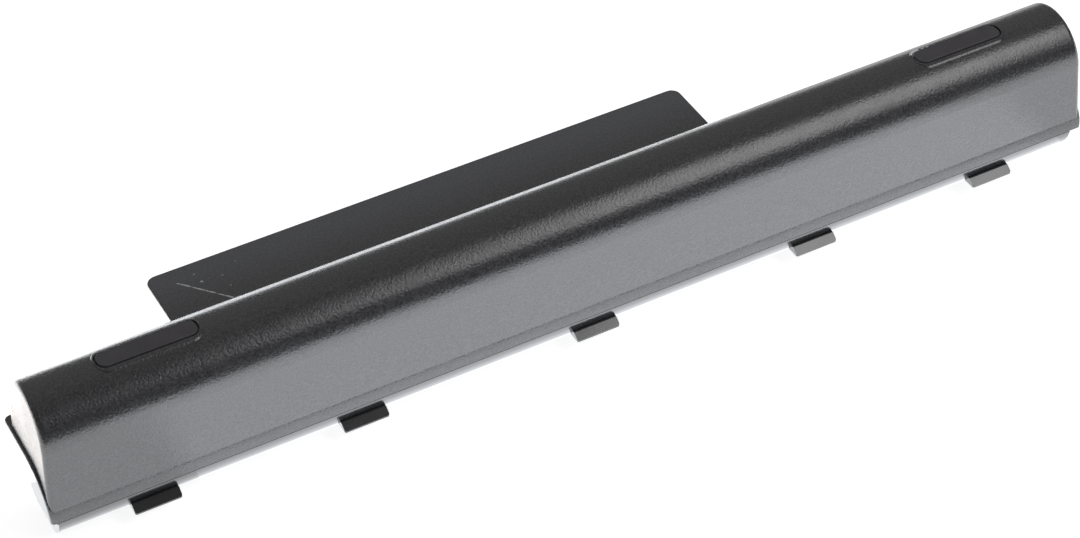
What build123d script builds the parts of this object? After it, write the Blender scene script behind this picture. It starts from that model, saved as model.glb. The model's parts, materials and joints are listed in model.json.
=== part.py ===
from build123d import *
import math
import os

# Extended laptop battery lying with its hump up. All sizes are in millimetres.
# X runs along the pack, Y from the hooked front edge to the cover plate's far edge, Z up.

# Cells and their welded strips
cell_diameter = 18.4
cell_length = 65.0
cell_fit = 0.1
cell_edge = 0.6
button_diameter = 6.0
button_height = 0.6
crimp_distance = 3.4
crimp_width = 1.4
crimp_depth = 0.7
ring_thickness = 0.3
ring_outer_diameter = 16.6
ring_play = 0.4
row_gap = 0.3
strip_thickness = 0.3
strip_width = 8.0
strip_overrun = 4.0
pad_margin = 1.0
pad_corner_radius = 1.7
tail_width = 3.0
tail_landing = 3.4
bar_count = 4
hump_count = 3
bay_count = 2

# Lower shell
trough_wall = 1.2
floor_wall = 1.0
end_wall = 1.4
end_pad_thickness = 2.45
front_wall_rise = 1.0
seam_step_depth = 0.5
seam_step_drop = 1.8
end_step_depth = 0.5
end_step_drop = 2.3
lower_edge_radius = 1.2

# Bay beside the bar, and the channel between them
channel_width = 10.2
bay_offset = -20.65
bay_pad_thickness = 3.0
bay_wall = 1.3
valley_drop = 4.5
valley_wall = 1.2

# Upper shell: lip, cover plate and hump
lip_thickness = 1.2
seam_gap = 0.3
end_overhang = 1.4
back_overhang = 3.6
cover_gap = 0.5
bay_end_overhang = 1.3
bay_back_overhang = 1.5
lip_front_radius = 1.0
lip_rim_radius = 0.5
lip_back_radius = 1.5
plate_corner_radius = 2.6
hump_wall = 1.5
hump_draft = 1.9
hump_end_draft = 4.0
hump_end_ledge = 0.2
hump_end_wall = 1.4
hump_edge_radius = 1.3
crease_rise = 2.8
stop_rib_thickness = 1.2
stop_rib_gap = 0.2
stop_rib_pitch = 30.0

# Hooks on the front of the lower shell
hook_width = 11.3
hook_drop = 5.3
hook_flat = 0.65
hook_run = 1.8
hook_slope = 1.3
hook_tip_thickness = 0.4
hook_tip_radius = 0.5
hook_end_distance = 25.0
hook_inner_place = 60.0
hook_shift = -0.6

# Latch notches in the back wall of the bay
latch_width = 10.0
latch_height = 3.0
latch_depth = 1.4
latch_wall = 0.8
latch_drop = 1.4
latch_spacing = 80.0

# Rubber feet on the crest of the hump
foot_length = 23.4
foot_width = 5.0
foot_thickness = 0.85
foot_corner_radius = 2.0
foot_edge_radius = 0.25
foot_end_distance = 30.9
foot_tilt = 2.0
foot_play = 0.35
foot_sink = 0.7
foot_land_margin = 0.55
foot_land_height = 0.2
foot_land_slope = 45.0

# Protection board and what is soldered to it
board_thickness = 1.0
board_rib_height = 1.0
board_rib_width = 1.4
board_rib_count = 4
board_side_gap = 0.4
board_end_gap = 0.5
lead_thickness = 0.25
lead_width = 0.4
lead_length = 0.9
peg_diameter = 1.4
peg_play = 0.1
peg_rise = 0.3
peg_offset = 3.0

# Board parts: length, width and height, and the place counted from the nearest tap strip
gauge_size = (9.7, 4.4, 1.2)
gauge_pins = 8
gauge_place = 23.3
protector_size = (4.9, 3.9, 1.4)
protector_pins = 4
protector_place = 5.3
transistor_size = (4.9, 3.9, 1.6)
transistor_pins = 4
charge_place = -8.0
discharge_place = 10.0
fuse_size = (6.0, 3.0, 1.2)
fuse_place = 20.0
resistor_size = (6.4, 3.2, 0.7)
resistor_place = 28.0
power_part_offset = 2.2
power_cap_length = 1.0
capacitor_size = (1.6, 0.8, 0.8)
capacitor_cap_length = 0.4
capacitor_gap = 1.2
capacitor_offset = 3.0
thermistor_diameter = 2.4
thermistor_length = 5.0
thermistor_edge_radius = 0.8
thermistor_leg = 0.5
thermistor_angle = 15.0
thermistor_place = -8.0
thermistor_fit = 0.05

# Connector at the right end of the board
connector_length = 32.0
connector_width = 7.6
connector_depth = 5.2
connector_play = 0.15
connector_flange = 1.6
connector_end_gap = 6.0
contact_count = 7
contact_pitch = 4.2
contact_thickness = 0.3
slot_width = 1.6
slot_length = 5.4
slot_depth = 4.0
contact_play = 0.05
pin_size = 0.7

# Insulated leads
wire_diameter = 1.4
wire_bend = 2.0
wire_wall_gap = 0.6
positive_wire_drop = 1.0
link_wire_drop = 3.4
wire_landing = 1.3

# Derived places
cell_radius = cell_diameter / 2
trough_inner = cell_radius + cell_fit
trough_outer = trough_inner + trough_wall
lip_inner = trough_outer + seam_gap
lip_outer = lip_inner + lip_thickness
bar_y = lip_outer
bar_z = trough_inner + floor_wall
hump_z = bar_z + cell_diameter + row_gap
hump_inner = trough_inner
hump_outer = hump_inner + hump_wall
shell_top = bar_z + cell_radius + cover_gap
plate_top = shell_top + lip_thickness
lip_z = plate_top - lip_outer
bay_y = bar_y + cell_diameter + channel_width
lip_back = bar_y + trough_outer + back_overhang
plate_back = bay_y + trough_outer + bay_back_overhang
cell_pitch = cell_length + strip_thickness
bar_row = bar_count * cell_pitch + strip_thickness
bay_row = bay_count * cell_pitch + strip_thickness
bar_start = -bar_row / 2
bay_start = bay_offset - bay_row / 2
bar_inner_half = bar_row / 2 + end_pad_thickness
bar_half = bar_inner_half + end_wall
lip_half = bar_half + end_overhang
bay_inner_half = bay_row / 2 + bay_pad_thickness
bay_half = bay_inner_half + bay_wall
plate_half = bay_half + bay_end_overhang
valley_bottom = bar_z - valley_drop
valley_floor = valley_bottom + valley_wall
board_bottom = valley_floor + board_rib_height
board_top = board_bottom + board_thickness
channel_y = bar_y + cell_radius + channel_width / 2
board_width = channel_width - 2 * board_side_gap
board_half = bay_inner_half - board_end_gap
front_wall_top = bar_z + front_wall_rise
crease_z = bar_z + crease_rise
lip_front = bar_y - math.sqrt(lip_outer**2 - (bar_z - lip_z)**2)
middle_y = (plate_back + lip_front) / 2
foot_place = lip_half - foot_end_distance
hook_outer_place = lip_half - hook_end_distance
hook_signs = (-hook_outer_place, -hook_inner_place, 0, hook_inner_place, hook_outer_place)
hook_places = [hook_shift + place for place in hook_signs]
pad_half = strip_width / 2 + pad_margin
connector_right = bay_offset + bay_inner_half - connector_end_gap
connector_left = connector_right - connector_length
connector_low = valley_floor - connector_depth
board_left = bay_offset - board_half
board_right = bay_offset + board_half
board_near = channel_y - board_width / 2
board_far = channel_y + board_width / 2
wire_radius = wire_diameter / 2
wire_y = bar_y + trough_inner - wire_wall_gap - wire_radius
positive_wire_z = shell_top - positive_wire_drop
link_wire_z = shell_top - link_wire_drop
far = 400.0


def box(x0, x1, y0, y1, z0, z1):
    """A block between two corners."""
    middle = Pos((x0 + x1) / 2, (y0 + y1) / 2, (z0 + z1) / 2)
    return middle * Box(x1 - x0, y1 - y0, z1 - z0)


def rect(y0, y1, z0, z1):
    """A rectangle of the cross-section, where the drawing's x is the pack's Y."""
    return Pos((y0 + y1) / 2, (z0 + z1) / 2) * Rectangle(y1 - y0, z1 - z0)


def disc(y, z, radius):
    """A circle of the cross-section."""
    return Pos(y, z) * Circle(radius)


def along(profile, x0, x1):
    """A cross-section drawn out along the pack."""
    return Pos(x0, 0, 0) * extrude(Plane.YZ * profile, x1 - x0)


def save(name, shape):
    """Write one piece, with the origin under the middle of the pack's box."""
    export_step(Pos(0, -middle_y, 0) * shape, os.path.join("parts", name + ".step"))


def chord(radius, rise):
    """Half the width of a circle at a height above its centre."""
    return math.sqrt(radius**2 - rise**2)


def cell(x, y, z, button_right):
    """One round cell on its side: can, crimp groove and button cap."""
    body = cell_length - button_height
    groove = body - crimp_distance
    neck = cell_radius - crimp_depth
    button = button_diameter / 2
    outline = Polyline(
        (0, 0),
        (0, cell_radius - cell_edge),
        (cell_edge, cell_radius),
        (groove, cell_radius),
        (groove + crimp_depth / 2, neck),
        (groove + crimp_width - crimp_depth / 2, neck),
        (groove + crimp_width, cell_radius),
        (body - cell_edge, cell_radius),
        (body, cell_radius - cell_edge),
        (body, button),
        (cell_length, button),
        (cell_length, 0),
        close=True,
    )
    solid = revolve(make_face(outline), Axis.X)
    if button_right:
        return Pos(x, y, z) * solid
    return Pos(x + cell_length, y, z) * Rot(0, 0, 180) * solid


def insulator_ring(x, y, z, button_right):
    """The paper ring round a button, lying on the cell's shoulder."""
    inner = button_diameter / 2 + ring_play
    flat = Circle(ring_outer_diameter / 2) - Circle(inner)
    shoulder = cell_length - button_height
    start = x + shoulder if button_right else x + cell_length - shoulder - ring_thickness
    return Pos(start, y, z) * extrude(Plane.YZ * flat, ring_thickness)


def row_place(start, index):
    """The left end of a cell in a row that begins with a strip."""
    return start + strip_thickness + index * cell_pitch


def strip_place(start, index):
    """The left face of a strip in a row."""
    return start + index * cell_pitch


def strip_plate(x, profile):
    """A welded strip standing across the row, cut from sheet."""
    return along(profile, x, x + strip_thickness)


def pad_profile(y, z):
    """The square of strip that is welded to one cell end."""
    half = strip_width / 2
    return rect(y - half, y + half, z - strip_overrun, z + strip_overrun)


def column_profile():
    """A strip that joins the bar cell's end to the hump cell's end above it."""
    half = strip_width / 2
    return rect(bar_y - half, bar_y + half, bar_z - strip_overrun, hump_z + strip_overrun)


def front_tail():
    """The tail of a bar strip, standing on the board."""
    return rect(bar_y, board_near + tail_landing, board_top, board_top + tail_width)


def bay_tail():
    """The tail of a bay strip, standing on the board."""
    return rect(board_far - tail_landing, bay_y, board_top, board_top + tail_width)


def wire_tab(z):
    """The tongue of a strip that a lead is soldered to, with the upright that it springs from."""
    upright = rect(bar_y - strip_width / 2, bar_y + strip_width / 2, bar_z, z + wire_radius)
    return upright + rect(bar_y, wire_y + wire_radius, z - wire_radius, z + wire_radius)


def lead(x_start, x_land, z):
    """An insulated lead: along the bar beside the cells, across the channel, down to the board."""
    land_y = channel_y - wire_landing
    path = FilletPolyline(
        (x_start, wire_y, z),
        (x_land, wire_y, z),
        (x_land, land_y, z),
        (x_land, land_y, board_top),
        radius=wire_bend,
    )
    section = Plane(origin=path @ 0, z_dir=path % 0) * Circle(wire_radius)
    return sweep(section, path)


def flange_outline():
    """Plan of the lip round the bar with the cover plate beside it."""
    bar = Pos(0, lip_back / 2) * Rectangle(2 * lip_half, lip_back)
    plate_depth = plate_back - lip_back / 2
    plate = Pos(bay_offset, plate_back - plate_depth / 2) * Rectangle(2 * plate_half, plate_depth)
    outline = bar + plate
    front = outline.vertices().group_by(Axis.Y)[0]
    outline = fillet(front, lip_front_radius)
    back = outline.vertices().filter_by(lambda v: v.Y > lip_back / 2).group_by(Axis.X)
    outline = fillet(back[1] + back[2], plate_corner_radius)
    back = outline.vertices().filter_by(lambda v: v.Y > lip_back / 2).group_by(Axis.X)
    return fillet(back[0] + back[-1], lip_back_radius)


def below_curve(radius, top, bottom, y_far):
    """Cross-section under the lip: a round front that runs into a flat top at the bar's middle."""
    return (disc(bar_y, lip_z, radius) + rect(bar_y, y_far, bottom, top)) & rect(-far, y_far, bottom, top)


def hump_profile(radius, draft, bottom):
    """Cross-section of the hump: a half round on two walls that lean by the draft."""
    lean = math.radians(draft)
    side = radius * math.cos(lean)
    spring = hump_z + radius * math.sin(lean)
    foot = side + (spring - bottom) * math.tan(lean)
    lines = [
        ThreePointArc((bar_y - side, spring), (bar_y, hump_z + radius), (bar_y + side, spring)),
        Line((bar_y + side, spring), (bar_y + foot, bottom)),
        Line((bar_y + foot, bottom), (bar_y - foot, bottom)),
        Line((bar_y - foot, bottom), (bar_y - side, spring)),
    ]
    return make_face(lines)


def hump_end(inset, z):
    """How far from the middle the hump's leaning end is, at a height and an inset."""
    lean = math.tan(math.radians(hump_end_draft))
    return lip_half - hump_end_ledge - inset - (z - crease_z) * lean


def end_wedge(inset):
    """A block whose ends lean in with height, which gives the hump its drafted ends."""
    top = hump_z + 2 * cell_diameter
    low, high = hump_end(inset, bar_z), hump_end(inset, top)
    side = Polyline((-low, bar_z), (low, bar_z), (high, top), (-high, top), close=True)
    return extrude(Plane.XZ * make_face(side), far, both=True)


def hump_solid():
    """The hump before it is hollowed, with its end edges rounded."""
    solid = along(hump_profile(hump_outer, hump_draft, bar_z), -lip_half, lip_half) & end_wedge(0)
    faces = solid.faces().sort_by(Axis.X)
    edges = [edge for end in (faces[0], faces[-1]) for edge in end.edges().sort_by(Axis.Z)[1:]]
    return fillet(edges, hump_edge_radius)


def foot_plane(distance):
    """A plane across the hump at a distance from its axis, leaning towards the plate."""
    lean = math.radians(foot_tilt)
    normal = (0, math.sin(lean), math.cos(lean))
    origin = Vector(0, bar_y, hump_z) + Vector(*normal) * distance
    return Plane(origin=origin, x_dir=(1, 0, 0), z_dir=normal)


def foot_outline(x, grown):
    """A foot's outline, grown by an offset on all sides."""
    size = (foot_length + 2 * grown, foot_width + 2 * grown)
    return Pos(x, 0) * RectangleRounded(*size, foot_corner_radius + grown)


def rubber_foot(x):
    """A flat rubber foot set in the crest of the hump."""
    base = foot_plane(hump_outer - foot_sink)
    pad = extrude(base * foot_outline(x, 0), foot_thickness)
    top = pad.faces().sort_by(Axis.Z)[-1]
    return fillet(top.edges(), foot_edge_radius)


def foot_recess(x):
    """The pocket for a foot."""
    base = foot_plane(hump_outer - foot_sink)
    return extrude(base * foot_outline(x, foot_play), 2 * foot_sink)


def foot_land(x):
    """The raised land round a foot's pocket, with sloping sides."""
    top = hump_outer + foot_land_height
    low = foot_plane(top - hump_wall)
    spread = hump_wall * math.tan(math.radians(foot_land_slope))
    land = extrude(low * foot_outline(x, foot_land_margin + spread), hump_wall, taper=foot_land_slope)
    return land & along(disc(bar_y, hump_z, top), -lip_half, lip_half)


def stop_ribs():
    """Ribs across the hump: the first stops the hump cells, the rest stiffen the empty end."""
    first = strip_place(bar_start, hump_count) + strip_thickness + stop_rib_gap
    count = int((bar_inner_half - first - stop_rib_thickness) // stop_rib_pitch)
    cross = hump_profile(hump_outer, 0, shell_top + row_gap)
    ribs = [along(cross, first + i * stop_rib_pitch, first + i * stop_rib_pitch + stop_rib_thickness)
            for i in range(count + 1)]
    return Part() + ribs


def upper_shell():
    """The one-piece cover: hump, lip that curls down at the front, and flat plate."""
    plan = extrude(flange_outline(), far)
    flange = plan & along(below_curve(lip_outer, plate_top, bar_z, far), -far, far)
    rim = flange.faces().sort_by(Axis.Z)[-1].edges().filter_by(lambda edge: edge.center().Y > bar_y)
    flange = fillet(rim, lip_rim_radius)
    hump = hump_solid()
    hollow = along(hump_profile(hump_inner, 0, bar_z), -lip_half, lip_half) & end_wedge(hump_end_wall)
    under = along(below_curve(lip_inner, shell_top, -far, far), -far, far)
    under += along(rect(bar_y - lip_inner, far, -far, bar_z), -far, far)
    ribs = stop_ribs() & hollow
    cover = flange + hump - hollow + ribs - under
    for side in (-1, 1):
        cover = cover + foot_land(side * foot_place) - foot_recess(side * foot_place)
    return cover


def hook(x):
    """A hook that reaches out of the front wall: flat at its root, then sloping to a blunt tip."""
    wall = (trough_inner + trough_outer) / 2
    top = bar_z - hook_drop
    tip = top - hook_slope
    under = tip - hook_tip_thickness
    root = bar_y - chord(wall, hook_drop)
    root_low = bar_y - chord(wall, bar_z - under)
    flat_end = bar_y - chord(trough_outer, hook_drop) - hook_flat
    tip_y = flat_end - hook_run
    outline = [(root, top), (flat_end, top), (tip_y, tip), (tip_y, under), (root_low, under)]
    side = Polyline(*outline, close=True)
    solid = along(make_face(side), x - hook_width / 2, x + hook_width / 2)
    corners = solid.edges().filter_by(Axis.Z).group_by(Axis.Y)[0]
    return fillet(corners, hook_tip_radius)


def trough(y, x0, x1):
    """Outside of one round-bottomed trough, with its bottom edges rounded at the ends."""
    profile = disc(y, bar_z, trough_outer) + rect(y, y + trough_outer, bar_z, shell_top)
    side = Pos((x0 + x1) / 2, shell_top / 2) * Rectangle(x1 - x0, shell_top)
    side = fillet(side.vertices().group_by(Axis.Y)[0], lower_edge_radius)
    return along(profile, x0, x1) & extrude(Plane.XZ * side, far, both=True)


def tray_plan():
    """Plan of the tray: the bar and the bay, with rounded corners."""
    bar = Pos(0, bar_y) * Rectangle(2 * bar_half, 2 * trough_outer)
    depth = bay_y + trough_outer - bar_y
    bay = Pos(bay_offset, bar_y + depth / 2) * Rectangle(2 * bay_half, depth)
    outline = bar + bay
    return extrude(fillet(outline.vertices(), lower_edge_radius), far)


def end_ledges():
    """The fuller upper part of the bar's end walls, above a step."""
    step = bar_z - end_step_drop
    profile = disc(bar_y, bar_z, trough_outer) + rect(bar_y, bar_y + trough_outer, bar_z, shell_top)
    return along(profile & rect(-far, far, step, shell_top), -bar_half, bar_half)


def latch_bosses():
    """Thicker places in the bay's back wall, behind the latch notches."""
    top = shell_top - latch_drop + latch_wall
    low = shell_top - latch_drop - latch_height - latch_wall
    back = bay_y + trough_outer
    depth = latch_depth + latch_wall
    reach = latch_width / 2 + latch_wall
    return [box(x - reach, x + reach, back - depth, back, low, top) for x in latch_centres()]


def latch_centres():
    """Where the two notches are along the pack."""
    return [bay_offset - latch_spacing / 2, bay_offset + latch_spacing / 2]


def latch_notches():
    """The notches that the laptop's latches catch in."""
    top = shell_top - latch_drop
    back = bay_y + trough_outer
    half = latch_width / 2
    low = top - latch_height
    near, beyond = back - latch_depth, back + latch_wall
    return [box(x - half, x + half, near, beyond, low, top) for x in latch_centres()]


def rib_places():
    """Where the board's ribs stand, spread over the length beside the connector."""
    pitch = (connector_left - connector_flange - board_left) / board_rib_count
    return [board_left + (i + 0.5) * pitch for i in range(board_rib_count)]


def board_pegs(radius, z0, z1):
    """A round peg, or the hole for it, on every second rib."""
    place = Pos(0, channel_y - peg_offset, (z0 + z1) / 2)
    return [Pos(x, 0, 0) * place * Cylinder(radius, z1 - z0) for x in rib_places()[::2]]


def board_ribs():
    """Cross ribs in the channel that carry the board, with pegs that hold it in place."""
    half = board_rib_width / 2
    low, top = valley_bottom, board_bottom
    ribs = [box(x - half, x + half, board_near, board_far, low, top) for x in rib_places()]
    return ribs + board_pegs(peg_diameter / 2, valley_floor, board_top + peg_rise)


def lower_shell():
    """The one-piece tray: a trough for the bar cells, a bay for the other two, and the hooks."""
    inner_end = bar_half - end_step_depth
    left, right = bay_offset - bay_half, bay_offset + bay_half
    outside = trough(bar_y, -inner_end, inner_end) + end_ledges()
    outside += trough(bay_y, left, right)
    outside += along(rect(bar_y, bay_y, valley_bottom, shell_top), left, right)
    outside &= tray_plan()
    seam_step = bar_z - seam_step_drop
    tongue = below_curve(trough_outer - seam_step_depth, shell_top, seam_step, far)
    outside &= along(tongue + rect(-far, far, -far, seam_step), -far, far)
    bar_hollow = disc(bar_y, bar_z, trough_inner)
    bar_hollow += rect(bar_y - trough_inner, bar_y + trough_inner, bar_z, far)
    bar_hollow += rect(-far, bar_y - lip_inner / 2, front_wall_top, far)
    tray = outside - along(bar_hollow, -bar_inner_half, bar_inner_half)
    bay_hollow = disc(bay_y, bar_z, trough_inner)
    bay_hollow += rect(bar_y, bay_y + trough_inner, bar_z, far)
    bay_hollow += rect(bar_y, bay_y, valley_floor, far)
    tray -= along(bay_hollow, bay_offset - bay_inner_half, bay_offset + bay_inner_half)
    half = connector_width / 2 + connector_play
    window = box(connector_left - connector_play, connector_right + connector_play,
                 channel_y - half, channel_y + half, 0, board_bottom)
    tray = tray + board_ribs() + latch_bosses() - latch_notches() - window
    return tray + [hook(x) for x in hook_places]


def circuit_board():
    """The long narrow board in the channel between the two rows."""
    board = box(board_left, board_right, board_near, board_far, board_bottom, board_top)
    return board - board_pegs(peg_diameter / 2 + peg_play, board_bottom, board_top)


def chip(x, size, pins):
    """A moulded chip on the board, with bent leads along two sides."""
    length, width, height = size
    standoff = lead_thickness / 2
    body = box(x - length / 2, x + length / 2, channel_y - width / 2, channel_y + width / 2,
               board_top + standoff, board_top + height)
    body = chamfer(body.faces().sort_by(Axis.Z)[-1].edges(), standoff)
    pitch = length / pins
    shoulder = board_top + height / 2
    sole = board_top + lead_thickness
    leads = []
    for side in (-1, 1):
        edge = channel_y + side * width / 2
        knee = edge + side * lead_length / 2
        heel = knee + side * lead_thickness
        toe = edge + side * lead_length
        for i in range(pins):
            left = x - length / 2 + (i + 0.5) * pitch - lead_width / 2
            outline = [
                (edge, shoulder),
                (knee, shoulder),
                (knee, board_top),
                (toe, board_top),
                (toe, sole),
                (heel, sole),
                (heel, shoulder + lead_thickness),
                (edge, shoulder + lead_thickness),
            ]
            bent = make_face(Polyline(*outline, close=True))
            leads.append(along(bent, left, left + lead_width))
    return body + leads


def end_capped(x, offset, size, cap):
    """A flat part with metal end caps, such as a fuse or a resistor, standing on its caps."""
    length, width, height = size
    gap = lead_thickness / 2
    near = channel_y + offset - width / 2
    left, right = x - length / 2, x + length / 2
    body = box(left, right, near, near + width, board_top + gap, board_top + height)
    for start in (left, right - cap):
        body += box(start, start + cap, near, near + width, board_top, board_top + height + gap)
    return body


def thermistor(x):
    """A bead against a bay cell, on two legs that stand on the board."""
    radius = thermistor_diameter / 2
    reach = cell_radius + radius + thermistor_fit
    angle = math.radians(thermistor_angle)
    y, z = bay_y - reach * math.cos(angle), bar_z + reach * math.sin(angle)
    bead = Pos(x, y, z) * Rot(0, 90, 0) * Cylinder(radius, thermistor_length)
    bead = fillet(bead.edges().filter_by(GeomType.CIRCLE), thermistor_edge_radius)
    half = thermistor_leg / 2
    for place in (x - thermistor_length / 4, x + thermistor_length / 4):
        bead += box(place - half, place + half, y - half, y + half, board_top, z)
    return bead


def connector_housing():
    """The moulded socket that hangs from the board through the tray, with open blade slots."""
    body_near, body_far = channel_y - connector_width / 2, channel_y + connector_width / 2
    body = box(connector_left, connector_right, body_near, body_far, connector_low, board_bottom)
    flange_left, flange_right = connector_left - connector_flange, connector_right + connector_flange
    flange = box(flange_left, flange_right, board_near, board_far, valley_floor, board_bottom)
    housing = body + flange
    hole = pin_size / 2 + contact_play
    half = slot_width / 2
    near, beyond = channel_y - slot_length / 2, channel_y + slot_length / 2
    for x in contact_places():
        housing -= box(x - half, x + half, near, beyond, -far, connector_low + slot_depth)
        housing -= box(x - hole, x + hole, channel_y - hole, channel_y + hole, connector_low, board_top)
    return housing


def contact_places():
    """Where the connector's slots are along the pack."""
    middle = (connector_left + connector_right) / 2
    return [middle + (i - (contact_count - 1) / 2) * contact_pitch for i in range(contact_count)]


def blade_contact(x):
    """A sprung fork in a slot, with a pin up to the board."""
    half = slot_width / 2 - contact_play
    reach = slot_length / 2 - contact_play
    roof = connector_low + slot_depth
    low = connector_low + contact_thickness
    fork = box(x - half, x + half, channel_y - reach, channel_y + reach, low, roof)
    inside = half - contact_thickness
    fork -= box(x - inside, x + inside, -far, far, -far, roof - contact_thickness)
    pin = pin_size / 2
    foot = roof - contact_thickness
    return fork + box(x - pin, x + pin, channel_y - pin, channel_y + pin, foot, board_bottom)


def foam_pad(y, z, x0, x1):
    """A foam pad that takes up the play at the end of a row."""
    outline = Pos(y, z) * RectangleRounded(2 * pad_half, 2 * pad_half, pad_corner_radius)
    return along(outline, x0, x1)


def cells():
    """Every cell with its place and which way its button points."""
    placed = {}
    for i in range(bar_count):
        placed[f"bar_cell_{i + 1}"] = (row_place(bar_start, i), bar_y, bar_z, i < hump_count)
    for i in range(hump_count):
        placed[f"hump_cell_{i + 1}"] = (row_place(bar_start, i), bar_y, hump_z, True)
    for i in range(bay_count):
        placed[f"bay_cell_{i + 1}"] = (row_place(bay_start, i), bay_y, bar_z, True)
    return placed


def strips():
    """The welded nickel strips, named for the point of the circuit that each one is."""
    low_tab, high_tab = wire_tab(positive_wire_z), wire_tab(link_wire_z)
    bar, bay = pad_profile(bar_y, bar_z), pad_profile(bay_y, bar_z)
    bar_profiles = {
        "strip_negative": column_profile() + low_tab,
        "strip_low_tap": column_profile() + front_tail(),
        "strip_high_tap": column_profile() + front_tail(),
        "strip_positive": column_profile() + low_tab,
        "strip_bar_end": bar + high_tab,
    }
    made = {name: strip_plate(strip_place(bar_start, i), profile)
            for i, (name, profile) in enumerate(bar_profiles.items())}
    for i, name in enumerate(("strip_bay_negative", "strip_bay_tap", "strip_bay_positive")):
        made[name] = strip_plate(strip_place(bay_start, i), bay + bay_tail())
    return made


def leads():
    """The three insulated leads from the bar's strips to the board."""
    step = 2 * wire_bend + wire_diameter
    positive = strip_place(bar_start, hump_count)
    bar_end = strip_place(bar_start, bar_count)
    return {
        "negative_lead": lead(bar_start + strip_thickness, board_left + step, positive_wire_z),
        "positive_lead": lead(positive, board_right - step, positive_wire_z),
        "link_lead": lead(bar_end, board_right - 2 * step, link_wire_z),
    }


def pads():
    """Foam pads at the ends of the rows."""
    bar_end = bar_row / 2
    hump_room = hump_end(hump_end_wall, hump_z + pad_half) - cell_fit
    bay_left, bay_right = bay_start, bay_start + bay_row
    return {
        "foam_pad_bar_left": foam_pad(bar_y, bar_z, -bar_inner_half, -bar_end),
        "foam_pad_bar_right": foam_pad(bar_y, bar_z, bar_end, bar_inner_half),
        "foam_pad_hump_left": foam_pad(bar_y, hump_z, -hump_room, -bar_end),
        "foam_pad_bay_left": foam_pad(bay_y, bar_z, bay_left - bay_pad_thickness, bay_left),
        "foam_pad_bay_right": foam_pad(bay_y, bar_z, bay_right, bay_right + bay_pad_thickness),
    }


def board_parts():
    """What is soldered to the top of the board."""
    low_tap = strip_place(bar_start, 1)
    high_tap = strip_place(bar_start, 2)
    chips = {
        "gauge_chip": (low_tap + gauge_place, gauge_size, gauge_pins),
        "protector_chip": (low_tap + protector_place, protector_size, protector_pins),
        "charge_transistor": (high_tap + charge_place, transistor_size, transistor_pins),
        "discharge_transistor": (high_tap + discharge_place, transistor_size, transistor_pins),
    }
    made = {name: chip(*place) for name, place in chips.items()}
    made["thermal_fuse"] = end_capped(high_tap + fuse_place, power_part_offset, fuse_size, power_cap_length)
    made["sense_resistor"] = end_capped(
        high_tap + resistor_place, power_part_offset, resistor_size, power_cap_length)
    made["thermistor"] = thermistor(low_tap + thermistor_place)
    beside = []
    for x, size, pins in chips.values():
        reach = (size[0] + capacitor_size[0]) / 2 + capacitor_gap
        beside += [x - reach, x + reach]
    made["chip_capacitors"] = Compound(
        [end_capped(x, capacitor_offset, capacitor_size, capacitor_cap_length) for x in beside])
    return made


def build():
    os.makedirs("parts", exist_ok=True)
    save("upper_shell", upper_shell())
    save("lower_shell", lower_shell())
    save("rubber_foot_left", rubber_foot(-foot_place))
    save("rubber_foot_right", rubber_foot(foot_place))
    placed = cells()
    for name, place in placed.items():
        save(name, cell(*place))
    save("insulator_rings", Compound([insulator_ring(*place) for place in placed.values()]))
    for group in (strips(), leads(), pads(), board_parts()):
        for name, shape in group.items():
            save(name, shape)
    save("circuit_board", circuit_board())
    save("connector_housing", connector_housing())
    save("connector_contacts", Compound([blade_contact(x) for x in contact_places()]))


build()
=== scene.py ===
# %% [markdown]
# # A laptop battery with a raised hump
#
# The part is an extended battery for a laptop. A long bar of round cells carries a second row of cells as a
# hump, with a flat cover plate on one side, five hooks along the front edge and two rubber feet on the
# crest. The shells, the feet and everything inside come from the CAD frame, in metres, and stay as they
# are. This lesson builds the photographer's table and lamps, and then works out one finish after another.

# %% Load the frame
import json
import math

import bpy
from mathutils import Matrix, Vector

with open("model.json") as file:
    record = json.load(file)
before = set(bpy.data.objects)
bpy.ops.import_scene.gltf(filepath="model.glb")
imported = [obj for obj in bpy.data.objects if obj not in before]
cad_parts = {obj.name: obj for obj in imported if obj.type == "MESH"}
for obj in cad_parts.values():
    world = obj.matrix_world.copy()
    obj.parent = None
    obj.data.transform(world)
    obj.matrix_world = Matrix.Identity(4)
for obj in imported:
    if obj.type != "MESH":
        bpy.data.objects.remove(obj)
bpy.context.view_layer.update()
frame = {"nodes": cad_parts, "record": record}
nodes = frame["nodes"]

# %% [markdown]
# ## The camera
#
# The photograph was taken with a long lens, from above and to the left of the hooked edge. The camera's
# place and turn were solved from the straight edges of the pack. A camera in Blender looks along its own
# -Z, with +Y up, so its matrix is made of the picture's right, its up and the way back to the lens.

# %% Place the camera
bpy.ops.object.select_all(action="DESELECT")
lens_place = (-0.2344, -0.458725, 0.4603)
right = Vector((0.880, -0.474, -0.029)).normalized()
down = Vector((-0.334, -0.574, -0.748))
down = (down - right * down.dot(right)).normalized()
ahead = right.cross(down)

bpy.ops.object.camera_add()
camera = bpy.context.object
camera.name = "photo_camera"
turn = Matrix((right, -down, -ahead)).transposed().to_4x4()
camera.matrix_world = Matrix.Translation(lens_place) @ turn
camera.data.sensor_width = 36.0
camera.data.sensor_fit = "HORIZONTAL"
camera.data.lens = 95.8
bpy.context.scene.camera = camera
bpy.context.scene.view_settings.view_transform = "Standard"
print("camera looks along", [round(v, 3) for v in ahead], "with a", camera.data.lens, "mm lens")

# %% [markdown]
# ## Three small helpers
#
# Colours are picked as hex values from a picture, which are sRGB, and shaders want linear light, so one
# function turns the one into the other. A second one adds a shader node: it sets what it is given by name,
# links what it is given as a socket, and takes in0, in1 and so on for inputs that share a name. A third
# starts a material with no nodes in it.

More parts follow.
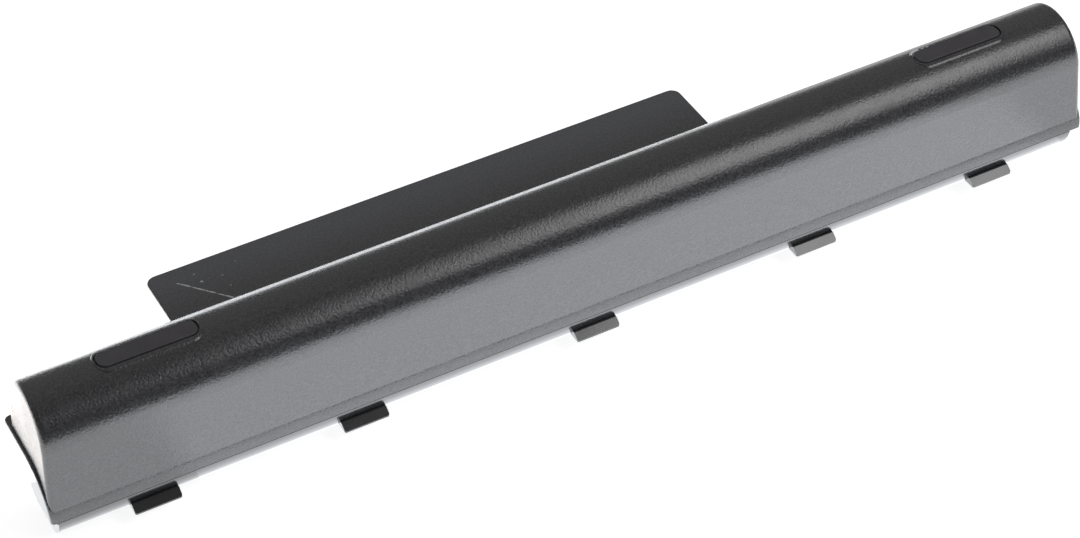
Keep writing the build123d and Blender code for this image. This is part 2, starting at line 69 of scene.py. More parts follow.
# %% Colour, node and material helpers
def colour(code):
    channels = [int(code[i:i + 2], 16) / 255 for i in (1, 3, 5)]
    linear = [c / 12.92 if c <= 0.04045 else ((c + 0.055) / 1.055) ** 2.4 for c in channels]
    return (*linear, 1.0)


def add_node(owner, kind, **settings):
    made = owner.node_tree.nodes.new(kind)
    for name, value in settings.items():
        if hasattr(made, name):
            setattr(made, name, value)
            continue
        counted = name.startswith("in") and name[2:].isdigit()
        place = int(name[2:]) if counted else name.replace("_", " ")
        if isinstance(value, bpy.types.NodeSocket):
            owner.node_tree.links.new(value, made.inputs[place])
        else:
            made.inputs[place].default_value = value
    return made


def new_material(name):
    made = bpy.data.materials.new(name)
    made.use_nodes = True
    made.node_tree.nodes.clear()
    return made


mm = 0.001
print("mid grey in linear light:", round(colour("#808080")[0], 3))

# %% [markdown]
# ## The white table
#
# The pack was shot on a white table. For the eye, and for what the plastic mirrors, the floor is plain
# white. For the light that falls on it, it is a matt white board, so it keeps the pack's shadow. Light Path
# tells the two kinds of ray apart. The table ends a hand's length in front of the pack: where its mirror
# image stops, the light front face turns into the dark shoulder.

# %% Make the floor
table_edge = -0.25
table_size = 6.0
table_drop = 0.3 * mm
bpy.ops.object.select_all(action="DESELECT")
table_middle = (0, table_size / 2 + table_edge, -table_drop)
bpy.ops.mesh.primitive_plane_add(size=table_size, location=table_middle)
floor = bpy.context.object
floor.name = "white_table"
bpy.ops.object.transform_apply(location=True, rotation=True, scale=True)

board = new_material("white_table_board")
path = add_node(board, "ShaderNodeLightPath")
seen = add_node(board, "ShaderNodeMath", operation="MAXIMUM", in0=path.outputs["Is Camera Ray"],
                in1=path.outputs["Is Glossy Ray"])
seen = add_node(board, "ShaderNodeMath", operation="MAXIMUM", in0=seen.outputs[0],
                in1=path.outputs["Is Transmission Ray"])
matt = add_node(board, "ShaderNodeBsdfDiffuse", Color=colour("#f2f2f2"))
glow = add_node(board, "ShaderNodeEmission", Color=colour("#ffffff"), Strength=0.8)
bright = add_node(board, "ShaderNodeAddShader", in0=matt.outputs[0], in1=glow.outputs[0])
either = add_node(board, "ShaderNodeMixShader", Fac=seen.outputs[0], in1=matt.outputs[0],
                  in2=bright.outputs[0])
add_node(board, "ShaderNodeOutputMaterial", Surface=either.outputs[0])
floor.data.materials.append(board)
print("floor at", round(floor.bound_box[0][2] / mm, 2), "mm")

# %% [markdown]
# ## The room
#
# The room is dim, and a little lighter high up beyond the table, which keeps the crest and the cover plate
# dark but not black. Z times Y, with Y moved up a little, is large for ways that lead up and beyond the
# table and small near the horizon and in front, so a ramp on it gives the room. The camera sees plain
# white.

# %% Make the room
dim_level = 0.16
light_level = 0.37
world = bpy.data.worlds.new("dim_room")
bpy.context.scene.world = world
world.use_nodes = True
world.node_tree.nodes.clear()
path = add_node(world, "ShaderNodeLightPath")
way = add_node(world, "ShaderNodeTexCoord").outputs["Generated"]
parts = add_node(world, "ShaderNodeSeparateXYZ", Vector=way)
beyond = add_node(world, "ShaderNodeMath", operation="ADD", in0=parts.outputs["Y"], in1=0.4)
high_beyond = add_node(world, "ShaderNodeMath", operation="MULTIPLY", in0=beyond.outputs[0],
                       in1=parts.outputs["Z"])
level = add_node(world, "ShaderNodeMapRange", Value=high_beyond.outputs[0], From_Min=0.0, From_Max=0.6,
                 To_Min=dim_level, To_Max=light_level)
dim = add_node(world, "ShaderNodeBackground", Color=colour("#ffffff"), Strength=level.outputs[0])
white = add_node(world, "ShaderNodeBackground", Color=colour("#ffffff"), Strength=1.0)
either = add_node(world, "ShaderNodeMixShader", Fac=path.outputs["Is Camera Ray"], in1=dim.outputs[0],
                  in2=white.outputs[0])
add_node(world, "ShaderNodeOutputWorld", Surface=either.outputs[0])
print("room from", dim_level, "in front to", light_level, "high up beyond")

# %% [markdown]
# ## The lamps
#
# The table shines upwards: that is what the steep front face and the ends mirror as light grey. Its glow is
# four flat lamps just above the floor, because the photograph's table isn't even: it is brighter in front
# of the pack than to the left, warm and bright beside the left end, and bright behind the plate, where it
# draws the white line along the crest. One softbox overhead, to the right and in front, draws the soft band
# along the rounded shoulder and lights the sloping faces of the three right-hand hooks.

# %% Light the table
def softbox(name, place, target, width, height, radiance, tint="#ffffff"):
    bpy.ops.object.select_all(action="DESELECT")
    bpy.ops.object.light_add(type="AREA", location=place)
    lamp = bpy.context.object
    lamp.name = name
    lamp.rotation_euler = (Vector(target) - Vector(place)).to_track_quat("-Z", "Y").to_euler()
    lamp.data.shape = "RECTANGLE"
    lamp.data.size = width
    lamp.data.size_y = height
    lamp.data.color = colour(tint)[:3]
    lamp.data.energy = radiance * math.pi * width * height
    lamp.visible_camera = False
    print(name, "gives", round(lamp.data.energy, 2), "W over", width, "by", height, "m")
    return lamp


def table_lamp(name, left, right, near, far, height, radiance, tint="#f6faff"):
    middle = Vector(((left + right) / 2, (near + far) / 2, height))
    return softbox(name, middle, middle + Vector((0, 0, 1)), right - left, far - near, radiance, tint)


table_lamp("table_glow", -1.2, 1.2, table_edge, 0.028, 0.4 * mm, 1.0)
table_lamp("table_glow_back", -0.7, 0.09, 0.028, 0.7, 0.4 * mm, 1.8)
table_lamp("table_glow_front", -0.10, 0.135, table_edge, -0.005, 0.6 * mm, 0.6)
table_lamp("table_glow_left", -0.45, -0.093, -0.002, 0.40, 0.6 * mm, 1.2, "#fff4e8")
softbox("overhead_softbox", (0.605, -0.735, 0.90), (0.605, -0.735, 0.0), 0.49, 1.03, 3.2)

# %% [markdown]
# ## Moulded plastic
#
# The shells are moulded in black PC/ABS, in a mould whose walls were spark-eroded. That leaves a pebble
# grain, about 0.5 mm from pit to pit, which breaks a highlight into specks, and a satin gloss that drifts a
# little over the surface. The same recipe with other sizes gives every moulded piece, so it is a function:
# one noise for the grain, which both dents the surface and tints it, and a broader one, 6 mm across, for
# the gloss. It also hands back its coordinates and its shader, to which the cover's painted light, its wear
# and a painted glint are added.

# %% A recipe for moulded plastic
def moulded_plastic(name, dark, light, grain, depth, gloss, specular):
    made = new_material(name)
    place = add_node(made, "ShaderNodeTexCoord").outputs["Object"]
    pebbles = add_node(made, "ShaderNodeTexNoise", Vector=place, Scale=1 / grain, Detail=2.0, Roughness=0.6)
    drift = add_node(made, "ShaderNodeTexNoise", Vector=place, Scale=1 / (6 * mm), Detail=3.0)
    spread = add_node(made, "ShaderNodeMapRange", Value=pebbles.outputs["Fac"], From_Min=0.3, From_Max=0.7)
    tone = add_node(made, "ShaderNodeMix", data_type="RGBA", Factor=spread.outputs[0], in6=colour(dark),
                    in7=colour(light))
    shine = add_node(made, "ShaderNodeMapRange", Value=drift.outputs["Fac"], From_Min=0.3, From_Max=0.7,
                     To_Min=gloss[0], To_Max=gloss[1])
    pits = add_node(made, "ShaderNodeBump", Strength=1.0, Distance=depth, Height=pebbles.outputs["Fac"])
    plastic = add_node(made, "ShaderNodeBsdfPrincipled", Base_Color=tone.outputs[2],
                       Roughness=shine.outputs[0], Normal=pits.outputs[0], IOR=1.57,
                       Specular_IOR_Level=specular)
    add_node(made, "ShaderNodeOutputMaterial", Surface=plastic.outputs[0])
    print(name, "has a grain of", round(grain / mm, 2), "mm")
    return made, place, plastic


cover_plastic, cover_place, cover_shader = moulded_plastic(
    "spark_eroded_pc_abs", "#101012", "#404044", 0.56 * mm, 0.068 * mm, (0.23, 0.29), 0.8)
tray_plastic = moulded_plastic(
    "fine_moulded_pc_abs", "#1c1c1e", "#2c2c2e", 0.30 * mm, 0.008 * mm, (0.17, 0.22), 0.8)[0]

# %% [markdown]
# ## Painted light on the cover plate
#
# Towards its far edge, away from the hump's shade, the flat plate is painted lighter and cooler than the
# crest: this is painted light. Z and the way that the surface faces tell the plate's top from the rest, and
# a ramp along Y raises the painted light over 10 mm. The colour that the recipe made is taken off the
# shader, mixed and linked back.

# %% Paint light on the plate's far part
plate_top = 21.2 * mm
painted_light_start = 12 * mm
painted_light_full = 22 * mm
links = cover_plastic.node_tree.links
spot = add_node(cover_plastic, "ShaderNodeSeparateXYZ", Vector=cover_place)
normal = add_node(cover_plastic, "ShaderNodeTexCoord").outputs["Normal"]
facing = add_node(cover_plastic, "ShaderNodeSeparateXYZ", Vector=normal)
upward = add_node(cover_plastic, "ShaderNodeMath", operation="GREATER_THAN", in0=facing.outputs["Z"],
                  in1=0.9)
level_with = add_node(cover_plastic, "ShaderNodeMath", operation="COMPARE", in0=spot.outputs["Z"],
                      in1=plate_top, in2=0.3 * mm)
# painted light: a ramp along Y paints the plate's top lighter and cooler towards its far edge, away from
# the hump's shade
painted_light_ramp = add_node(cover_plastic, "ShaderNodeMapRange", Value=spot.outputs["Y"], From_Min=painted_light_start,
                From_Max=painted_light_full, To_Min=0.0, To_Max=0.17)
painted_light_ramp = add_node(cover_plastic, "ShaderNodeMath", operation="MULTIPLY", in0=painted_light_ramp.outputs[0],
                in1=upward.outputs[0])
painted_light_ramp = add_node(cover_plastic, "ShaderNodeMath", operation="MULTIPLY", in0=painted_light_ramp.outputs[0],
                in1=level_with.outputs[0])
fresh = cover_shader.inputs["Base Color"].links[0].from_socket
# the painted light's colour, mixed in where the ramp rises
mixed = add_node(cover_plastic, "ShaderNodeMix", data_type="RGBA", Factor=painted_light_ramp.outputs[0], in6=fresh,
                 in7=colour("#8a8d98"))
links.new(mixed.outputs[2], cover_shader.inputs["Base Color"])
print("dust thickens over", round((painted_light_full - painted_light_start) / mm), "mm")

# %% [markdown]
# ## The scratch on the cover plate
#
# Near the left end of the plate runs one long straight scratch, broken in places, where the plastic shows
# pale. A Mapping node of the texture kind lays its own axes along the scratch, so that X is the way along
# it and Y the way across. Three Compare nodes keep what is near the line, between its ends and on the
# plate's top. A noise along the line sets the width, and where that falls to nothing the scratch breaks.

# %% Mark the scratch
scratch_start = Vector((-85.44 * mm, 21.085 * mm, plate_top))
scratch_end = Vector((-76.0 * mm, 9.905 * mm, plate_top))
run = scratch_end - scratch_start
half_run = run.length / 2

axes = add_node(cover_plastic, "ShaderNodeMapping", vector_type="TEXTURE", Vector=cover_place,
                Location=scratch_start, Rotation=(0, 0, math.atan2(run.y, run.x)))
lined_up = add_node(cover_plastic, "ShaderNodeSeparateXYZ", Vector=axes.outputs[0])
breaks = add_node(cover_plastic, "ShaderNodeTexNoise", Vector=axes.outputs[0], Scale=1 / (1.6 * mm),
                  Detail=3.0)
width = add_node(cover_plastic, "ShaderNodeMapRange", Value=breaks.outputs["Fac"], From_Min=0.36,
                 From_Max=0.56, To_Min=0.0, To_Max=0.24 * mm)
near_line = add_node(cover_plastic, "ShaderNodeMath", operation="COMPARE", in0=lined_up.outputs["Y"],
                     in1=0.0, in2=width.outputs[0])
between_ends = add_node(cover_plastic, "ShaderNodeMath", operation="COMPARE", in0=lined_up.outputs["X"],
                        in1=half_run, in2=half_run)
on_top = add_node(cover_plastic, "ShaderNodeMath", operation="COMPARE", in0=lined_up.outputs["Z"], in1=0.0,
                  in2=0.3 * mm)
scratch = add_node(cover_plastic, "ShaderNodeMath", operation="MULTIPLY", in0=near_line.outputs[0],
                   in1=between_ends.outputs[0])
scratch = add_node(cover_plastic, "ShaderNodeMath", operation="MULTIPLY", in0=scratch.outputs[0],
                   in1=on_top.outputs[0])
wear_and_glint = add_node(cover_plastic, "ShaderNodeMath", operation="MULTIPLY", in0=scratch.outputs[0], in1=0.55)
print("scratch", round(run.length / mm, 1), "mm long")

# %% [markdown]
# ## Nicks, and a painted glint on a chipped edge
#
# A few small nicks lie round the scratch. At the far corner of the right foot's pocket the edge is chipped,
# and its glint is painted as near-white colour: a painted highlight. Each is a ball round a place on the
# surface, with a reach in mm and a paleness from 0 to 1.
# Vector Math gives the distance to its middle, a noise makes its edge ragged, and the palest mark is kept.

# %% Mark the nicks and the painted glint
nicks = [
    ((-80.19, 18.715, 21.2), 0.30, 0.5),
    ((-80.81, 21.955, 21.2), 0.17, 0.5),
    ((-75.18, 18.405, 21.2), 0.17, 0.5),
    ((-74.87, 14.225, 21.2), 0.15, 0.5),
    ((-70.69, 21.445, 21.2), 0.14, 0.5),
    # painted highlight: these five marks paint the glint on the pocket's chipped rim as pale colour
    ((93.9, -11.9, 39.6), 0.75, 1.0),
    ((94.5, -11.2, 39.5), 0.80, 1.0),
    ((95.6, -11.0, 39.5), 0.70, 1.0),
    ((97.2, -10.95, 39.5), 0.40, 0.8),
    ((98.6, -10.95, 39.5), 0.40, 0.8),
]
ragged = add_node(cover_plastic, "ShaderNodeTexNoise", Vector=cover_place, Scale=1 / (0.3 * mm), Detail=2.0)
for spot, reach, paleness in nicks:
    middle = Vector(spot) * mm
    apart = add_node(cover_plastic, "ShaderNodeVectorMath", operation="DISTANCE", in0=cover_place,
                     in1=middle)
    edge = add_node(cover_plastic, "ShaderNodeMath", operation="MULTIPLY", in0=ragged.outputs["Fac"],
                    in1=2 * reach * mm)
    inside = add_node(cover_plastic, "ShaderNodeMath", operation="LESS_THAN", in0=apart.outputs["Value"],
                      in1=edge.outputs[0])
    pale = add_node(cover_plastic, "ShaderNodeMath", operation="MULTIPLY", in0=inside.outputs[0],
                    in1=paleness)
    wear_and_glint = add_node(cover_plastic, "ShaderNodeMath", operation="MAXIMUM", in0=wear_and_glint.outputs[0],
                    in1=pale.outputs[0])
print(len(nicks), "nicks")

# %% [markdown]
# ## Wear and a painted glint into the plastic
#
# The higher the mask, the paler and duller the plastic, as scored plastic is. On the right foot's pocket
# rim the same paleness is a painted highlight. The colour and the roughness so far are taken off the
# shader, mixed with the worn and glinting ones, and linked back.

# %% Mix the wear and the painted glint in
fresh = cover_shader.inputs["Base Color"].links[0].from_socket
# pale colour for the wear, and a painted highlight where the mask holds the pocket rim's glint
mixed = add_node(cover_plastic, "ShaderNodeMix", data_type="RGBA", Factor=wear_and_glint.outputs[0], in6=fresh,
                 in7=colour("#f2f2f2"))
links.new(mixed.outputs[2], cover_shader.inputs["Base Color"])
fresh = cover_shader.inputs["Roughness"].links[0].from_socket
mixed = add_node(cover_plastic, "ShaderNodeMix", data_type="FLOAT", Factor=wear_and_glint.outputs[0], in2=fresh,
                 in3=0.55)
links.new(mixed.outputs[0], cover_shader.inputs["Roughness"])
print("cover plastic has", len(cover_plastic.node_tree.nodes), "nodes")

# %% [markdown]
# ## Foot rubber
#
# The feet are die-cut from dark rubber sheet: matt, with a fine dusty tooth that makes them no darker than
# the plastic round them. The tooth is about 0.5 mm across, with dust lying in broader patches.

# %% Make the foot rubber
foot_rubber = new_material("die_cut_rubber")
place = add_node(foot_rubber, "ShaderNodeTexCoord").outputs["Object"]
tooth = add_node(foot_rubber, "ShaderNodeTexNoise", Vector=place, Scale=1 / (0.5 * mm), Detail=3.0)
patches = add_node(foot_rubber, "ShaderNodeTexNoise", Vector=place, Scale=1 / (4 * mm), Detail=2.0)
bumps = add_node(foot_rubber, "ShaderNodeBump", Strength=0.6, Distance=0.05 * mm,
                 Height=tooth.outputs["Fac"])
dust = add_node(foot_rubber, "ShaderNodeMix", data_type="RGBA", Factor=patches.outputs["Fac"],
                in6=colour("#3f3c40"), in7=colour("#565358"))
rubber = add_node(foot_rubber, "ShaderNodeBsdfPrincipled", Base_Color=dust.outputs[2], Roughness=0.55,
                  Normal=bumps.outputs[0], IOR=1.52)
add_node(foot_rubber, "ShaderNodeOutputMaterial", Surface=rubber.outputs[0])
print("rubber tooth every 0.5 mm")

# %% [markdown]
# ## Cell sleeves
#
# Each cell is a nickel-plated steel can in a PVC sleeve that was shrunk on with hot air. The sleeve is
# glossy, with shallow ripples that run along the cell, and the can's ends stay bare. The direction that the
# surface faces tells the ends from the sides, so one material does for the whole cell: metal where the
# normal points along X, plastic elsewhere.

# %% Make the cell sleeves
cell_sleeve = new_material("pvc_shrink_sleeve")
coordinates = add_node(cell_sleeve, "ShaderNodeTexCoord")
facing = add_node(cell_sleeve, "ShaderNodeSeparateXYZ", Vector=coordinates.outputs["Normal"])
endwise = add_node(cell_sleeve, "ShaderNodeMath", operation="ABSOLUTE", in0=facing.outputs["X"])
bare = add_node(cell_sleeve, "ShaderNodeMath", operation="GREATER_THAN", in0=endwise.outputs[0], in1=0.9)
stretched = add_node(cell_sleeve, "ShaderNodeMapping", Vector=coordinates.outputs["Object"],
                     Scale=(1 / (14 * mm), 1 / (1.6 * mm), 1 / (1.6 * mm)))
ripples = add_node(cell_sleeve, "ShaderNodeTexNoise", Vector=stretched.outputs[0], Scale=1.0, Detail=3.0)
sleeve_blue = add_node(cell_sleeve, "ShaderNodeMix", data_type="RGBA", Factor=ripples.outputs["Fac"],
                       in6=colour("#1b4a60"), in7=colour("#2f6f8b"))
skin = add_node(cell_sleeve, "ShaderNodeMix", data_type="RGBA", Factor=bare.outputs[0],
                in6=sleeve_blue.outputs[2], in7=colour("#bdb8ae"))
gloss = add_node(cell_sleeve, "ShaderNodeMapRange", Value=ripples.outputs["Fac"], To_Min=0.20, To_Max=0.36)
swell = add_node(cell_sleeve, "ShaderNodeBump", Strength=0.5, Distance=0.08 * mm,
                 Height=ripples.outputs["Fac"])
shell = add_node(cell_sleeve, "ShaderNodeBsdfPrincipled", Base_Color=skin.outputs[2],
                 Metallic=bare.outputs[0], Roughness=gloss.outputs[0], Normal=swell.outputs[0])
add_node(cell_sleeve, "ShaderNodeOutputMaterial", Surface=shell.outputs[0])
print("sleeve ripples 1.6 mm wide and 14 mm long")

# %% [markdown]
# ## Insulating paper
#
# The rings round the buttons are punched from barley paper, a tough pressed board. It is cream and matt,
# with short fibres that lie in every direction, about 0.3 mm wide. Two noises of different stretch,
# multiplied, look like fibres that cross.

# %% Make the insulating paper
ring_paper = new_material("barley_paper")
place = add_node(ring_paper, "ShaderNodeTexCoord").outputs["Object"]
upright = add_node(ring_paper, "ShaderNodeMapping", Vector=place,
                   Scale=(1 / (1 * mm), 1 / (0.3 * mm), 1 / (2 * mm)))
level_fibres = add_node(ring_paper, "ShaderNodeMapping", Vector=place,
                        Scale=(1 / (1 * mm), 1 / (2 * mm), 1 / (0.3 * mm)))
one_way = add_node(ring_paper, "ShaderNodeTexNoise", Vector=upright.outputs[0], Scale=1.0, Detail=4.0)
other_way = add_node(ring_paper, "ShaderNodeTexNoise", Vector=level_fibres.outputs[0], Scale=1.0,
                     Detail=4.0)
fibres = add_node(ring_paper, "ShaderNodeMath", operation="MULTIPLY", in0=one_way.outputs["Fac"],
                  in1=other_way.outputs["Fac"])
spread = add_node(ring_paper, "ShaderNodeMapRange", Value=fibres.outputs[0], From_Min=0.12, From_Max=0.40)
cream = add_node(ring_paper, "ShaderNodeMix", data_type="RGBA", Factor=spread.outputs[0],
                 in6=colour("#c9bfa6"), in7=colour("#ece4d0"))
tooth = add_node(ring_paper, "ShaderNodeBump", Strength=0.5, Distance=0.03 * mm, Height=spread.outputs[0])
paper = add_node(ring_paper, "ShaderNodeBsdfPrincipled", Base_Color=cream.outputs[2], Roughness=0.85,
                 Normal=tooth.outputs[0])
add_node(ring_paper, "ShaderNodeOutputMaterial", Surface=paper.outputs[0])
print("paper fibres 0.3 mm wide")

# %% [markdown]
# ## Nickel strip
#
# The strips are slit from rolled steel that is plated with nickel. Rolling leaves fine lines along the
# strip, far under 0.1 mm apart, drawn here at 0.12 mm so that they show, and the plating is a warm grey
# with a soft shine. A noise that is stretched along Z, the way that the strips stand, gives the lines.

# %% Make the nickel strip
nickel_strip = new_material("rolled_nickel_plate")
place = add_node(nickel_strip, "ShaderNodeTexCoord").outputs["Object"]
rolled = add_node(nickel_strip, "ShaderNodeMapping", Vector=place,
                  Scale=(1 / (1 * mm), 1 / (0.12 * mm), 1 / (8 * mm)))
lines = add_node(nickel_strip, "ShaderNodeTexNoise", Vector=rolled.outputs[0], Scale=1.0, Detail=3.0)
warm_grey = add_node(nickel_strip, "ShaderNodeMix", data_type="RGBA", Factor=lines.outputs["Fac"],
                     in6=colour("#aaa59b"), in7=colour("#cfcac0"))
shine = add_node(nickel_strip, "ShaderNodeMapRange", Value=lines.outputs["Fac"], To_Min=0.22, To_Max=0.42)
furrows = add_node(nickel_strip, "ShaderNodeBump", Strength=0.4, Distance=0.01 * mm,
                   Height=lines.outputs["Fac"])
nickel = add_node(nickel_strip, "ShaderNodeBsdfPrincipled", Base_Color=warm_grey.outputs[2], Metallic=1.0,
                  Roughness=shine.outputs[0], Normal=furrows.outputs[0])
add_node(nickel_strip, "ShaderNodeOutputMaterial", Surface=nickel.outputs[0])
print("rolling lines drawn 0.12 mm apart")

# %% [markdown]
# ## Lead insulation
#
# The leads are stranded copper in soft PVC, one black, one red and one blue. Extruded PVC has a dull shine
# and is a little uneven in tone, and the strands press through as faint waves a couple of millimetres long.
# The three differ in colour alone, so they share a function.

# %% Make the lead insulation
def lead_insulation(name, dark, light):
    made = new_material(name)
    place = add_node(made, "ShaderNodeTexCoord").outputs["Object"]
    waves = add_node(made, "ShaderNodeTexNoise", Vector=place, Scale=1 / (2 * mm), Detail=2.0)
    tone = add_node(made, "ShaderNodeMix", data_type="RGBA", Factor=waves.outputs["Fac"], in6=colour(dark),
                    in7=colour(light))
    dull = add_node(made, "ShaderNodeMapRange", Value=waves.outputs["Fac"], To_Min=0.38, To_Max=0.52)
    swell = add_node(made, "ShaderNodeBump", Strength=0.4, Distance=0.06 * mm, Height=waves.outputs["Fac"])
    pvc = add_node(made, "ShaderNodeBsdfPrincipled", Base_Color=tone.outputs[2], Roughness=dull.outputs[0],
                   Normal=swell.outputs[0], IOR=1.54)
    add_node(made, "ShaderNodeOutputMaterial", Surface=pvc.outputs[0])
    print(name, "from", dark, "to", light)
    return made


black_lead = lead_insulation("black_pvc_insulation", "#161617", "#29292b")
red_lead = lead_insulation("red_pvc_insulation", "#8f1511", "#c0271f")
blue_lead = lead_insulation("blue_pvc_insulation", "#17307c", "#2a4ba6")

# %% [markdown]
# ## Foam
#
# The pads at the ends of the rows are cut from closed-cell foam. The cut opens the cells, about 0.5 mm
# across, as small dark hollows with paler rims. Voronoi gives just that: its distance is 0 in the middle of
# a cell and largest at the walls.

# %% Make the foam
pad_foam = new_material("closed_cell_foam")
place = add_node(pad_foam, "ShaderNodeTexCoord").outputs["Object"]
pores = add_node(pad_foam, "ShaderNodeTexVoronoi", Vector=place, Scale=1 / (0.5 * mm))
walls = add_node(pad_foam, "ShaderNodeMapRange", Value=pores.outputs["Distance"], From_Min=0.1,
                 From_Max=0.7)
charcoal = add_node(pad_foam, "ShaderNodeMix", data_type="RGBA", Factor=walls.outputs[0],
                    in6=colour("#232324"), in7=colour("#4b4b4d"))
hollows = add_node(pad_foam, "ShaderNodeBump", Strength=0.8, Distance=0.15 * mm, Height=walls.outputs[0])
foam = add_node(pad_foam, "ShaderNodeBsdfPrincipled", Base_Color=charcoal.outputs[2], Roughness=0.95,
                Normal=hollows.outputs[0])
add_node(pad_foam, "ShaderNodeOutputMaterial", Surface=foam.outputs[0])
print("foam cells 0.5 mm across")

# %% [markdown]
# ## Circuit board
#
# The board is glass-fibre laminate under green solder mask. Copper tracks show through the mask as paler
# strips with gaps between them, which a brick pattern gives: bricks 9 mm by 1.1 mm with gaps of 0.2 mm. The
# cut edges have no mask and show the laminate's straw colour, and the normal's Z tells them from the faces.

# %% Make the circuit board
board_mask = new_material("solder_masked_laminate")
coordinates = add_node(board_mask, "ShaderNodeTexCoord")
facing = add_node(board_mask, "ShaderNodeSeparateXYZ", Vector=coordinates.outputs["Normal"])
upward = add_node(board_mask, "ShaderNodeMath", operation="ABSOLUTE", in0=facing.outputs["Z"])
cut_edge = add_node(board_mask, "ShaderNodeMath", operation="LESS_THAN", in0=upward.outputs[0], in1=0.5)
tracks = add_node(board_mask, "ShaderNodeTexBrick", Vector=coordinates.outputs["Object"],
                  Color1=colour("#17632f"), Color2=colour("#1d6f38"), Mortar=colour("#0d4420"),
                  Scale=1.0, Brick_Width=9 * mm, Row_Height=1.1 * mm, Mortar_Size=0.1 * mm)
faces = add_node(board_mask, "ShaderNodeMix", data_type="RGBA", Factor=cut_edge.outputs[0],
                 in6=tracks.outputs["Color"], in7=colour("#b9a970"))
weave = add_node(board_mask, "ShaderNodeTexNoise", Vector=coordinates.outputs["Object"],
                 Scale=1 / (0.6 * mm))
satin = add_node(board_mask, "ShaderNodeMapRange", Value=weave.outputs["Fac"], To_Min=0.28, To_Max=0.45)
steps = add_node(board_mask, "ShaderNodeBump", Strength=0.5, Distance=0.03 * mm,
                 Height=tracks.outputs["Fac"], invert=True)
mask = add_node(board_mask, "ShaderNodeBsdfPrincipled", Base_Color=faces.outputs[2],
                Roughness=satin.outputs[0], Normal=steps.outputs[0])
add_node(board_mask, "ShaderNodeOutputMaterial", Surface=mask.outputs[0])
print("tracks 1.1 mm apart")

# %% [markdown]
# ## Chip epoxy
#
# Chips are moulded in black epoxy that is full of glass beads, which makes it matt and faintly speckled.
# Their legs are tinned copper. The four chips sit along the middle of the board, at Y = 0, and only their
# legs reach further out than 2.25 mm, so the distance from the middle tells metal from epoxy. The sense
# resistor and the thermistor share this finish but lie further out, so the far part of the resistor and all
# of the thermistor come out tinned too. The closed case hides both.

# %% Make the chip epoxy
chip_epoxy = new_material("glass_filled_epoxy")
place = add_node(chip_epoxy, "ShaderNodeTexCoord").outputs["Object"]
parts = add_node(chip_epoxy, "ShaderNodeSeparateXYZ", Vector=place)
outward = add_node(chip_epoxy, "ShaderNodeMath", operation="ABSOLUTE", in0=parts.outputs["Y"])
legs = add_node(chip_epoxy, "ShaderNodeMath", operation="GREATER_THAN", in0=outward.outputs[0],
                in1=2.25 * mm)
beads = add_node(chip_epoxy, "ShaderNodeTexNoise", Vector=place, Scale=1 / (0.15 * mm), Detail=2.0)
epoxy_black = add_node(chip_epoxy, "ShaderNodeMix", data_type="RGBA", Factor=beads.outputs["Fac"],
                       in6=colour("#1a1a1b"), in7=colour("#323234"))
dressed = add_node(chip_epoxy, "ShaderNodeMix", data_type="RGBA", Factor=legs.outputs[0],
                   in6=epoxy_black.outputs[2], in7=colour("#c3c3c0"))
matt = add_node(chip_epoxy, "ShaderNodeMapRange", Value=beads.outputs["Fac"], To_Min=0.42, To_Max=0.60)
speckle = add_node(chip_epoxy, "ShaderNodeBump", Strength=0.4, Distance=0.02 * mm,
                   Height=beads.outputs["Fac"])
epoxy = add_node(chip_epoxy, "ShaderNodeBsdfPrincipled", Base_Color=dressed.outputs[2],
                 Metallic=legs.outputs[0], Roughness=matt.outputs[0], Normal=speckle.outputs[0])
add_node(chip_epoxy, "ShaderNodeOutputMaterial", Surface=epoxy.outputs[0])
print("glass beads drawn 0.15 mm apart")

# %% [markdown]
# ## Ceramic
#
# The capacitors and the fuse are fired ceramic: tan, matt and slightly cloudy, with a grain that is too
# fine to see, drawn at 0.12 mm.

# %% Make the ceramic
fired_ceramic = new_material("fired_ceramic")
place = add_node(fired_ceramic, "ShaderNodeTexCoord").outputs["Object"]
grains = add_node(fired_ceramic, "ShaderNodeTexNoise", Vector=place, Scale=1 / (0.12 * mm), Detail=2.0)
clouds = add_node(fired_ceramic, "ShaderNodeTexNoise", Vector=place, Scale=1 / (1.5 * mm), Detail=2.0)
tan = add_node(fired_ceramic, "ShaderNodeMix", data_type="RGBA", Factor=clouds.outputs["Fac"],
               in6=colour("#a38f74"), in7=colour("#cdbb9d"))
matt = add_node(fired_ceramic, "ShaderNodeMapRange", Value=grains.outputs["Fac"], To_Min=0.40, To_Max=0.60)
pits = add_node(fired_ceramic, "ShaderNodeBump", Strength=0.4, Distance=0.02 * mm,
                Height=grains.outputs["Fac"])
ceramic = add_node(fired_ceramic, "ShaderNodeBsdfPrincipled", Base_Color=tan.outputs[2],
                   Roughness=matt.outputs[0], Normal=pits.outputs[0], IOR=1.6)
add_node(fired_ceramic, "ShaderNodeOutputMaterial", Surface=ceramic.outputs[0])
print("ceramic grain drawn 0.12 mm apart")

# %% [markdown]
# ## Connector
#
# The socket under the board is moulded in glass-filled nylon, a little duller and finer than the shells, so
# the plastic recipe serves again. Its sprung forks are brass with a flash of gold, rolled lengthwise, with
# lines drawn at 0.1 mm.

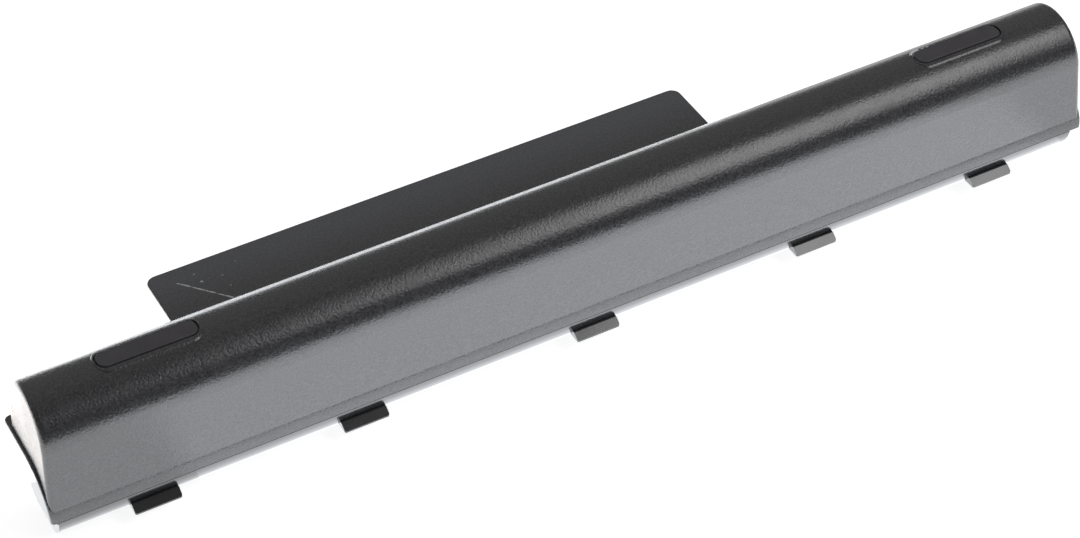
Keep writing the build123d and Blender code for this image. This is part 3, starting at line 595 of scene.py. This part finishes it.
# %% Make the connector's plastic and contacts
socket_nylon = moulded_plastic(
    "glass_filled_nylon", "#131314", "#2a2a2c", 0.25 * mm, 0.01 * mm, (0.36, 0.46), 0.5)[0]
contact_gold = new_material("gold_flashed_brass")
place = add_node(contact_gold, "ShaderNodeTexCoord").outputs["Object"]
rolled = add_node(contact_gold, "ShaderNodeMapping", Vector=place,
                  Scale=(1 / (0.1 * mm), 1 / (0.1 * mm), 1 / (4 * mm)))
lines = add_node(contact_gold, "ShaderNodeTexNoise", Vector=rolled.outputs[0], Scale=1.0, Detail=2.0)
gold = add_node(contact_gold, "ShaderNodeMix", data_type="RGBA", Factor=lines.outputs["Fac"],
                in6=colour("#b58a3a"), in7=colour("#e0bb66"))
shine = add_node(contact_gold, "ShaderNodeMapRange", Value=lines.outputs["Fac"], To_Min=0.20, To_Max=0.36)
brass = add_node(contact_gold, "ShaderNodeBsdfPrincipled", Base_Color=gold.outputs[2], Metallic=1.0,
                 Roughness=shine.outputs[0])
add_node(contact_gold, "ShaderNodeOutputMaterial", Surface=brass.outputs[0])
print("rolling lines drawn 0.1 mm apart")

# %% [markdown]
# ## Dress the pieces
#
# The record says which stuff each CAD piece is made of. A table from those names to the finishes above
# dresses them all. The cover and the tray are the same plastic, but the cover came out of a grained mould
# and the tray out of a smoother one, so the cover is set apart afterwards.

# %% Put the finishes on
finishes = {
    "shell": tray_plastic,
    "foot_rubber": foot_rubber,
    "cell_wrap": cell_sleeve,
    "insulator_paper": ring_paper,
    "nickel_strip": nickel_strip,
    "lead_black": black_lead,
    "lead_red": red_lead,
    "lead_blue": blue_lead,
    "foam": pad_foam,
    "board": board_mask,
    "chip_plastic": chip_epoxy,
    "part_ceramic": fired_ceramic,
    "connector_plastic": socket_nylon,
    "contact_brass": contact_gold,
}
for piece in frame["record"]["subparts"]:
    skin = nodes[piece["node"]].data.materials
    skin.clear()
    skin.append(finishes[piece["material_slot"]])
cover_skin = nodes["upper_shell"].data.materials
cover_skin.clear()
cover_skin.append(cover_plastic)
